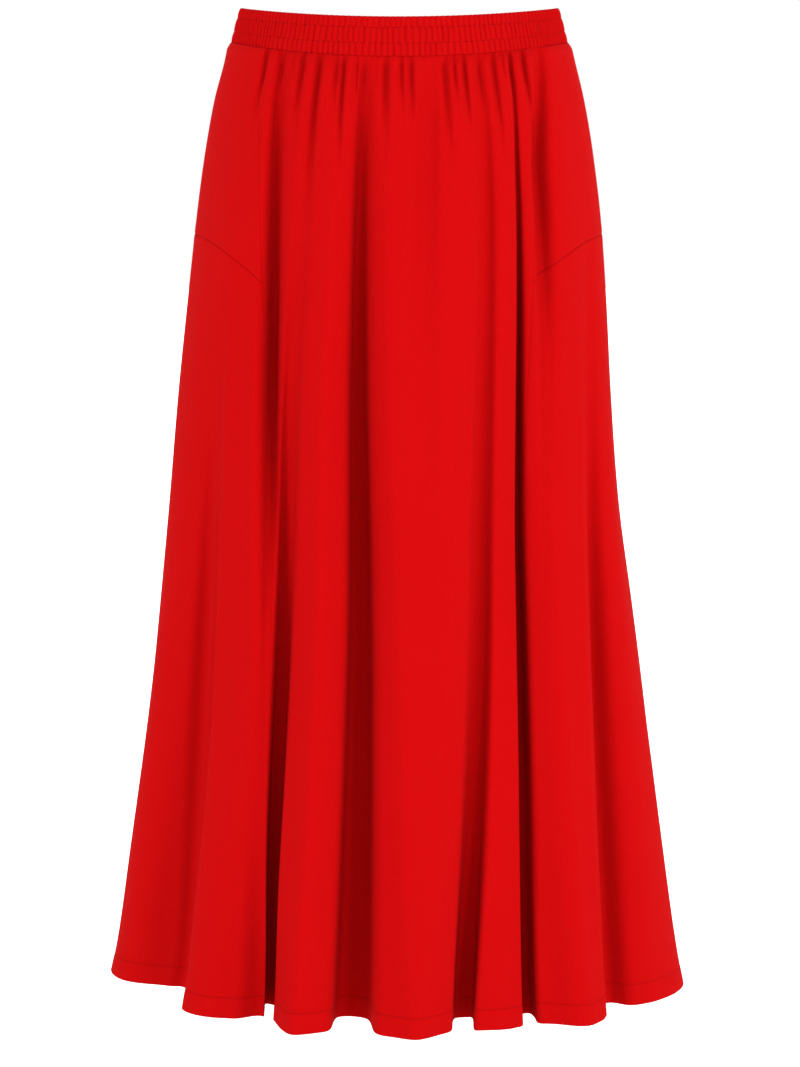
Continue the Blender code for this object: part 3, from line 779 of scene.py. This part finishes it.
def yoke_sheet(side):
    """The smooth piece from the band to the slanting seam."""
    corner = hip_corner()
    share = spaced(corner - BAND_FOOT_SIDE, YOKE_ROWS, SIDE_CLOSER)[:, None]
    front_height = seam_top(0.0) + share * (corner - seam_top(0.0))
    back_height = seam_top(180.0) + share * (corner - seam_top(180.0))
    angle = across_side(side, front_height, back_height, front_height)
    top = band_foot(angle[0]) - SEAM_OVERLAP / 2
    foot = hip_seam(angle[-1]) + SEAM_OVERLAP / 2
    return new_sheet(top + share * (foot - top), angle, seam_foot=True)


def side_sheet(side, thickness):
    """The flared piece from the slanting seam to the hem."""
    corner = hip_corner()
    foot = hem_foot(thickness)
    share = spaced(foot - corner, SIDE_ROWS, SIDE_CLOSER, end_steps=HEM_STEPS)[:, None]
    edge = corner + share * (foot - corner)
    angle = across_side(side, edge, edge, edge)
    top = hip_seam(angle[0]) - SEAM_OVERLAP / 2
    return new_sheet(top + share * (foot - top), angle, hem=True)


def band_row_pattern(row, place, angle):
    """How far one row's ribs are drawn in, from 0 on a crest to 1 in a crease, and each rib's own size."""
    turns = np.radians(angle)
    phase = row.ribs * turns / 2 + RIB_ROW_SHIFT * place
    for stray in RIB_STRAYS:
        phase = phase + row.wander * stray.share * np.sin(stray.waves * turns + stray.start * place)
    crease = 1 - np.abs(np.cos(phase)) ** RIB_ROUND
    change = np.sin(RIB_TURN * row.ribs * turns + RIB_START * place) * np.sin(RIB_WAVES * turns + place)
    return crease * (RIB_LEAST + RIB_CHANGE * change)


def band_outer():
    """Heights, angles, insets and painted crease shade of the band's outer face, a row of ribs at a time."""
    angle = np.linspace(-180.0, 180.0, BAND_COLUMNS, endpoint=False)
    top = band_top(angle) + BAND_EDGE_ROLL - BAND_SIDE_RISE * (1 - towards_middle(angle))
    foot = band_foot(angle) + SEAM_OVERLAP / 2
    heights = []
    insets = []
    shades = []
    start = 0.0
    for place, row in enumerate(BAND_ROWS):
        pattern = band_row_pattern(row, place, angle)
        last = place == len(BAND_ROWS) - 1
        for t in np.linspace(0.0, 1.0, BAND_ROW_STEPS, endpoint=last):
            full = max(math.sin(math.pi * t), 0.0) ** BAND_PUFF_ROUND
            share = start + t * (row.end - start)
            heights.append(top + share * (foot - top))
            depth = row.depth * pattern * (BAND_PINCH + (1 - BAND_PINCH) * full)
            insets.append(BAND_SET_BACK - row.puff * full + depth)
            # Painted shade in the creases between the ribs
            shades.append(pattern ** 2)
        start = row.end
    return angle, np.array(heights), np.array(insets), np.array(shades)


def band_points(height, angle, inset):
    _, out = body_out(height, angle)
    flat = body(height, angle) - out * inset[..., None]
    return np.concatenate([flat, -height[..., None]], axis=-1)


def band_loop():
    """Rows of points round the band's section: ribbed outside, foot, plain inside and the rolled top."""
    angle, heights, insets, shades = band_outer()
    inside_share = np.linspace(1.0, 0.0, BAND_INSIDE_STEPS)[:, None]
    top = heights[0]
    foot = heights[-1]
    inside_height = top + inside_share * (foot - top)
    inside_inset = np.full_like(inside_height, BAND_INSIDE)
    inside_inset += RIB_INSIDE * band_row_pattern(BAND_ROWS[1], 1, angle)
    roll = np.array(BAND_ROLL_SHARES)[:, None]
    roll_inset = inside_inset[-1] + roll * (insets[0] - inside_inset[-1])
    roll_height = top - BAND_EDGE_ROLL * np.sin(np.pi * roll) ** BAND_ROLL_ROUND
    roll_height = roll_height + RIB_TOP * band_row_pattern(BAND_ROWS[0], 0, angle)
    height = np.concatenate([heights, inside_height, roll_height])
    inset = np.concatenate([insets, inside_inset, roll_inset])
    shade = np.concatenate([shades, np.zeros_like(inside_height), np.zeros_like(roll_height)])
    return band_points(height, np.broadcast_to(angle, height.shape), inset), shade


def waistband_piece():
    loop, shade = band_loop()
    rows, columns = loop.shape[:2]
    faces = grid_faces(rows, columns, True, True)
    around = np.arange(columns) * (math.tau * BAND_RADIUS / columns)
    across = np.broadcast_to(around, (rows, columns))
    down = np.broadcast_to(lengths_along(loop, 0)[:, :1], (rows, columns))
    uv = np.stack([across, -down], axis=-1).reshape(-1, 2)
    return new_mesh("waistband_knit", loop.reshape(-1, 3), faces, uv, shade)


def at_lengths(places, length, vectors):
    """A path's points or directions at some distances along it."""
    return np.stack([np.interp(places, length, part) for part in vectors.T], axis=-1)


def stitches(name, paths):
    """Rows of short stitches along paths of points, each with its directions out of the cloth."""
    ring = np.arange(THREAD_SIDES) * math.tau / THREAD_SIDES
    local = []
    for place, size, rise in THREAD_RINGS:
        for a in ring:
            side = size * math.cos(a)
            high = size * math.sin(a) + rise
            local.append((place * STITCH, side * THREAD / 2, high * THREAD / 2))
    local = np.array(local)
    faces = grid_faces(len(THREAD_RINGS), THREAD_SIDES, False, True)[:, ::-1]
    all_points = []
    all_faces = []
    for points, out in paths:
        length = lengths_along(points, 0)
        middle = np.arange(STITCH, length[-1] - STITCH / 2, STITCH + STITCH_SPACE)
        centre = at_lengths(middle, length, points)
        lift = unit(at_lengths(middle, length, out))
        ahead = at_lengths(middle + THREAD_AHEAD, length, points) - centre
        ahead = unit(ahead - lift * np.sum(ahead * lift, axis=-1, keepdims=True))
        side = np.cross(lift, ahead)
        made = centre[:, None] + ahead[:, None] * local[None, :, :1]
        made = made + side[:, None] * local[None, :, 1:2] + lift[:, None] * local[None, :, 2:]
        start = sum(len(p) for p in all_points) + len(local) * np.arange(len(middle))
        all_points.append(made.reshape(-1, 3))
        all_faces.append((faces[None] + start[:, None, None]).reshape(-1, 4))
    return new_mesh(name, np.concatenate(all_points), np.concatenate(all_faces))


def hem_path(sheet):
    """The row of a sheet's outer face where the hem is stitched."""
    outer, _ = sewn(sheet)
    above_hem = HEM_HEIGHT + sheet.points[:, 0, 2]
    row = int(np.argmin(np.abs(above_hem - HEM_STITCH)))
    sewn_part = slice(HEM_THREAD_INSET, -HEM_THREAD_INSET)
    return outer[row, sewn_part], sheet.out[row, sewn_part]


def band_stitch_paths():
    """The two rows of sewing that divide the band's ribs."""
    angle, heights, insets, _ = band_outer()
    paths = []
    for row in range(1, len(BAND_ROWS)):
        height = heights[row * BAND_ROW_STEPS]
        inset = insets[row * BAND_ROW_STEPS]
        _, out = body_out(height, angle)
        points = band_points(height, angle, inset - THREAD / 4)
        paths.append((points, np.concatenate([out, np.zeros((len(out), 1))], axis=-1)))
    return paths


def add_node(tree, kind, **values):
    """A shader node with some of its settings and unlinked inputs filled in."""
    node = tree.nodes.new(kind)
    for name, value in values.items():
        if hasattr(node, name):
            setattr(node, name, value)
        else:
            node.inputs[name.replace("_", " ")].default_value = value
    return node


def feed(tree, socket, value):
    """Links a socket to another, or sets it to a plain number or colour."""
    if isinstance(value, bpy.types.NodeSocket):
        tree.links.new(value, socket)
    else:
        socket.default_value = value


def math_node(tree, operation, first, second=None):
    """The result socket of one sum on sockets or plain numbers."""
    node = add_node(tree, "ShaderNodeMath", operation=operation)
    feed(tree, node.inputs[0], first)
    if second is not None:
        feed(tree, node.inputs[1], second)
    return node.outputs[0]


def mixed(tree, factor, first, second):
    """The result socket of a mix of two colours."""
    node = add_node(tree, "ShaderNodeMix", data_type="RGBA")
    colours = [socket for socket in node.inputs if socket.type == "RGBA"]
    for socket, value in zip([node.inputs[0]] + colours, (factor, first, second)):
        feed(tree, socket, value)
    return [socket for socket in node.outputs if socket.type == "RGBA"][0]


def texture(tree, kind, **values):
    """The value of a texture laid over the piece's own space."""
    node = add_node(tree, kind, **values)
    space = tree.nodes.new("ShaderNodeTexCoord")
    tree.links.new(space.outputs["Object"], node.inputs["Vector"])
    return node.outputs["Fac"]


def emboss(tree, shader, height, **values):
    """Feeds a height to the shader's normal."""
    relief = add_node(tree, "ShaderNodeBump", **values)
    tree.links.new(height, relief.inputs["Height"])
    tree.links.new(relief.outputs["Normal"], shader.inputs["Normal"])


def new_material(name, **values):
    """A material, its nodes and its Principled shader with some inputs set."""
    material = bpy.data.materials.new(name)
    material.use_nodes = True
    shader = material.node_tree.nodes["Principled BSDF"]
    for key, value in values.items():
        shader.inputs[key.replace("_", " ")].default_value = value
    return material, material.node_tree, shader


def knit_group():
    """Columns of V-shaped knit stitches: their colour with painted shade and random tone, their roughness and
    their height.
    """
    name = "Jersey stitches"
    if name in bpy.data.node_groups:
        return bpy.data.node_groups[name]
    tree = bpy.data.node_groups.new(name, "ShaderNodeTree")
    for side, kind, names in KNIT_SOCKETS:
        for socket in names:
            tree.interface.new_socket(socket, in_out=side, socket_type=kind)
    given = tree.nodes.new("NodeGroupInput").outputs
    result = tree.nodes.new("NodeGroupOutput").inputs

    def calc(operation, first, second=None):
        return math_node(tree, operation, first, second)

    place = add_node(tree, "ShaderNodeUVMap", uv_map="Cloth").outputs["UV"]
    parts = tree.nodes.new("ShaderNodeSeparateXYZ")
    tree.links.new(place, parts.inputs[0])
    wale = calc("DIVIDE", parts.outputs["X"], given["Wale"])
    course = calc("DIVIDE", parts.outputs["Y"], given["Course"])
    from_middle = calc("MULTIPLY", calc("ABSOLUTE", calc("SUBTRACT", calc("FRACT", wale), 0.5)), 2.0)
    slanted = calc("SUBTRACT", course, calc("MULTIPLY", from_middle, STITCH_SLANT))
    wave = calc("COSINE", calc("MULTIPLY", slanted, math.tau))
    yarn = calc("ADD", calc("MULTIPLY", wave, 0.5), 0.5)
    column = calc("SUBTRACT", 1.0, calc("POWER", from_middle, COLUMN_FLAT))
    stitch = calc("MULTIPLY", yarn, column)

    cloudy = texture(tree, "ShaderNodeTexNoise", Scale=CLOUD_SCALE, Detail=3.0)
    fuzz = texture(tree, "ShaderNodeTexNoise", Scale=FUZZ_SCALE, Detail=2.0)
    # Painted shade along the seams, in the band's rib creases and in the hem groove, read from the mesh
    seam = add_node(tree, "ShaderNodeAttribute", attribute_name="seam_shade", attribute_type="GEOMETRY")
    # Painted shade in the gaps between the stitches
    depth = calc("MULTIPLY", calc("SUBTRACT", 1.0, stitch), STITCH_GAP_SHADE)
    for source, share in ((cloudy, CLOUD_DEEP), (fuzz, FUZZ_DEEP), (seam.outputs["Fac"], PAINTED_SHADE_SHARE)):
        depth = calc("ADD", depth, calc("MULTIPLY", source, share))
    feed(tree, result["Colour"], mixed(tree, depth, given["Colour"], given["Deep Colour"]))
    feed(tree, result["Roughness"], calc("ADD", given["Roughness"], calc("MULTIPLY", fuzz, FUZZ_ROUGH)))
    feed(tree, result["Height"], calc("ADD", stitch, calc("MULTIPLY", fuzz, FUZZ_RISE)))
    return tree


def knit_material(cloth, name):
    """Matt red jersey: the stitch group feeds a plain Principled shader."""
    material, tree, shader = new_material(
        name, Specular_IOR_Level=0.03,
        Sheen_Weight=0.05, Sheen_Roughness=0.6, Sheen_Tint=(1.0, 0.03, 0.03, 1.0),
    )
    group = tree.nodes.new("ShaderNodeGroup")
    group.node_tree = knit_group()
    group.inputs["Colour"].default_value = tuple(cloth.colour) + (1.0,)
    group.inputs["Deep Colour"].default_value = tuple(cloth.deep_colour) + (1.0,)
    group.inputs["Wale"].default_value = cloth.wale
    group.inputs["Course"].default_value = cloth.course
    group.inputs["Roughness"].default_value = cloth.roughness
    tree.links.new(group.outputs["Colour"], shader.inputs["Base Color"])
    tree.links.new(group.outputs["Roughness"], shader.inputs["Roughness"])
    emboss(tree, shader, group.outputs["Height"], Strength=1.0, Distance=KNIT_RELIEF)
    return material


def thread_material(cloth):
    """Twisted sewing thread, a little glossier than the knit, with painted shade in the twist's grooves."""
    material, tree, shader = new_material("red_thread", Specular_IOR_Level=0.05, Roughness=0.8)
    twist = texture(tree, "ShaderNodeTexWave", Scale=TWIST_SCALE, Distortion=1.0)
    # Painted shade in the twist's grooves
    groove_shade_colour = tuple(TWIST_GROOVE_SHADE * c for c in cloth.deep_colour) + (1.0,)
    feed(tree, shader.inputs["Base Color"], mixed(tree, twist, groove_shade_colour, tuple(cloth.deep_colour) + (1.0,)))
    emboss(tree, shader, twist, Strength=0.6, Distance=TWIST_RELIEF)
    return material


def dress(thing, material, node):
    """Gives a piece of cloth its material, hangs it on the body's root and hides the part of model.glb it
    replaces.
    """
    thing.data.materials.append(material)
    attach(thing, "root")
    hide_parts(node)


class SKIRT_OT_waistband(bpy.types.Operator):
    """Builds the elastic waistband with its three puckered rows"""

    bl_idname = "skirt.waistband"
    bl_label = "Waistband"

    def execute(self, context):
        cloth = context.scene.skirt_cloth
        band = waistband_piece()
        dress(band, knit_material(cloth, "band_knit"), "waistband")
        return {"FINISHED"}


class SKIRT_OT_centre_panels(bpy.types.Operator):
    """Builds the gathered panels of the middle front and the middle back"""

    bl_idname = "skirt.centre_panels"
    bl_label = "Centre panels"

    def execute(self, context):
        cloth = context.scene.skirt_cloth
        thick = cloth.thickness / MM
        for node, middle in (("front_panel", 0.0), ("back_panel", 180.0)):
            panel = cloth_piece(node + "_knit", centre_sheet(middle, thick), thick)
            dress(panel, knit_material(cloth, node + "_jersey"), node)
        return {"FINISHED"}


class SKIRT_OT_yokes(bpy.types.Operator):
    """Builds the smooth hip pieces under the band"""

    bl_idname = "skirt.yokes"
    bl_label = "Yokes"

    def execute(self, context):
        cloth = context.scene.skirt_cloth
        for node, side in (("yoke_left", 1), ("yoke_right", -1)):
            yoke = cloth_piece(node + "_knit", yoke_sheet(side), cloth.thickness / MM)
            dress(yoke, knit_material(cloth, node + "_jersey"), node)
        return {"FINISHED"}


class SKIRT_OT_side_panels(bpy.types.Operator):
    """Builds the flared pieces under the yokes"""

    bl_idname = "skirt.side_panels"
    bl_label = "Side panels"

    def execute(self, context):
        cloth = context.scene.skirt_cloth
        thick = cloth.thickness / MM
        for node, side in (("side_panel_left", 1), ("side_panel_right", -1)):
            panel = cloth_piece(node + "_knit", side_sheet(side, thick), thick)
            dress(panel, knit_material(cloth, node + "_jersey"), node)
        return {"FINISHED"}


class SKIRT_OT_sewing(bpy.types.Operator):
    """Sews the band's two rows and the hem"""

    bl_idname = "skirt.sewing"
    bl_label = "Sewing"

    def execute(self, context):
        cloth = context.scene.skirt_cloth
        thick = cloth.thickness / MM
        sheets = [centre_sheet(middle, thick) for middle in (0.0, 180.0)]
        sheets += [side_sheet(side, thick) for side in (1, -1)]
        hem = stitches("hem_stitches", [hem_path(sheet) for sheet in sheets])
        band = stitches("band_stitches", band_stitch_paths())
        thread = thread_material(cloth)
        for thing, node in ((hem, "front_panel"), (band, "waistband")):
            thing.data.materials.append(thread)
            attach(thing, "root")
        return {"FINISHED"}


def floor_material(colour):
    """A pale floor, bright enough for the camera to read it as white."""
    material, tree, shader = new_material(
        "pale_floor", Base_Color=tuple(colour) + (1.0,), Roughness=0.9, Emission_Color=(1.0, 1.0, 1.0, 1.0),
    )
    path = tree.nodes.new("ShaderNodeLightPath")
    glow = math_node(tree, "MULTIPLY", path.outputs["Is Camera Ray"], FLOOR_GLOW)
    tree.links.new(glow, shader.inputs["Emission Strength"])
    return material


def area_light(name, place, size, power):
    """A soft light aimed at the middle of the skirt."""
    light = bpy.data.lights.new(name, "AREA")
    light.shape = "RECTANGLE"
    light.size, light.size_y = size
    light.energy = power
    thing = bpy.data.objects.new(name, light)
    thing.location = place
    middle = Vector((0.0, 0.0, -HEM_HEIGHT * MM / 2))
    thing.rotation_euler = (middle - Vector(place)).to_track_quat("-Z", "Y").to_euler()
    bpy.context.collection.objects.link(thing)


def white_room(strength):
    """A white surround, which the camera sees as white and which lights the cloth softly."""
    world = bpy.data.worlds.new("white_room")
    bpy.context.scene.world = world
    world.use_nodes = True
    tree = world.node_tree
    background = tree.nodes["Background"]
    background.inputs["Color"].default_value = (1.0, 1.0, 1.0, 1.0)
    path = tree.nodes.new("ShaderNodeLightPath")
    seen = math_node(tree, "MULTIPLY", path.outputs["Is Camera Ray"], 1.0 - strength)
    tree.links.new(math_node(tree, "ADD", seen, strength), background.inputs["Strength"])


class SKIRT_OT_studio(bpy.types.Operator):
    """Builds the pale floor, the soft lights and the camera"""

    bl_idname = "skirt.studio"
    bl_label = "Studio"

    def execute(self, context):
        studio = context.scene.skirt_studio
        half = FLOOR_HALF
        drop = -studio.floor_drop / MM
        corners = [(-half, -half, drop), (half, -half, drop), (half, half, drop), (-half, half, drop)]
        floor = new_mesh("floor", corners, [(0, 1, 2, 3)])
        floor.data.materials.append(floor_material(studio.floor_colour))
        for box in SOFTBOXES:
            area_light(box.name, box.place, box.size, box.share * studio.light_power)
        white_room(studio.sky)

        camera = bpy.data.cameras.new("camera")
        camera.sensor_width = SENSOR
        camera.sensor_height = SENSOR
        camera.lens = studio.lens
        eye = bpy.data.objects.new("camera", camera)
        eye.location = (studio.camera_side, -studio.camera_distance, 0.0)
        eye.rotation_euler = (math.pi / 2 - studio.camera_tilt, 0.0, 0.0)
        bpy.context.collection.objects.link(eye)
        context.scene.camera = eye
        context.scene.view_settings.view_transform = "Standard"
        return {"FINISHED"}


OPERATORS = (
    SKIRT_OT_waistband,
    SKIRT_OT_centre_panels,
    SKIRT_OT_yokes,
    SKIRT_OT_side_panels,
    SKIRT_OT_sewing,
    SKIRT_OT_studio,
)


class SKIRT_PT_panel(bpy.types.Panel):
    """Lists the skirt's pieces and their settings"""

    bl_label = "Skirt"
    bl_idname = "SKIRT_PT_panel"
    bl_space_type = "VIEW_3D"
    bl_region_type = "UI"
    bl_category = "Skirt"

    def draw(self, context):
        layout = self.layout
        for settings in (context.scene.skirt_cloth, context.scene.skirt_studio):
            for name in settings.bl_rna.properties.keys():
                if name not in ("rna_type", "name"):
                    layout.prop(settings, name)
        for operator in OPERATORS:
            layout.operator(operator.bl_idname)


CLASSES = (ClothSettings, StudioSettings) + OPERATORS + (SKIRT_PT_panel,)


def register():
    for kind in CLASSES:
        bpy.utils.register_class(kind)
    bpy.types.Scene.skirt_cloth = bpy.props.PointerProperty(type=ClothSettings)
    bpy.types.Scene.skirt_studio = bpy.props.PointerProperty(type=StudioSettings)


def unregister():
    del bpy.types.Scene.skirt_studio
    del bpy.types.Scene.skirt_cloth
    for kind in reversed(CLASSES):
        bpy.utils.unregister_class(kind)


def main():
    register()
    bpy.ops.skirt.waistband()
    bpy.ops.skirt.centre_panels()
    bpy.ops.skirt.yokes()
    bpy.ops.skirt.side_panels()
    bpy.ops.skirt.sewing()
    bpy.ops.skirt.studio()


if __name__ == "__main__":
    main()
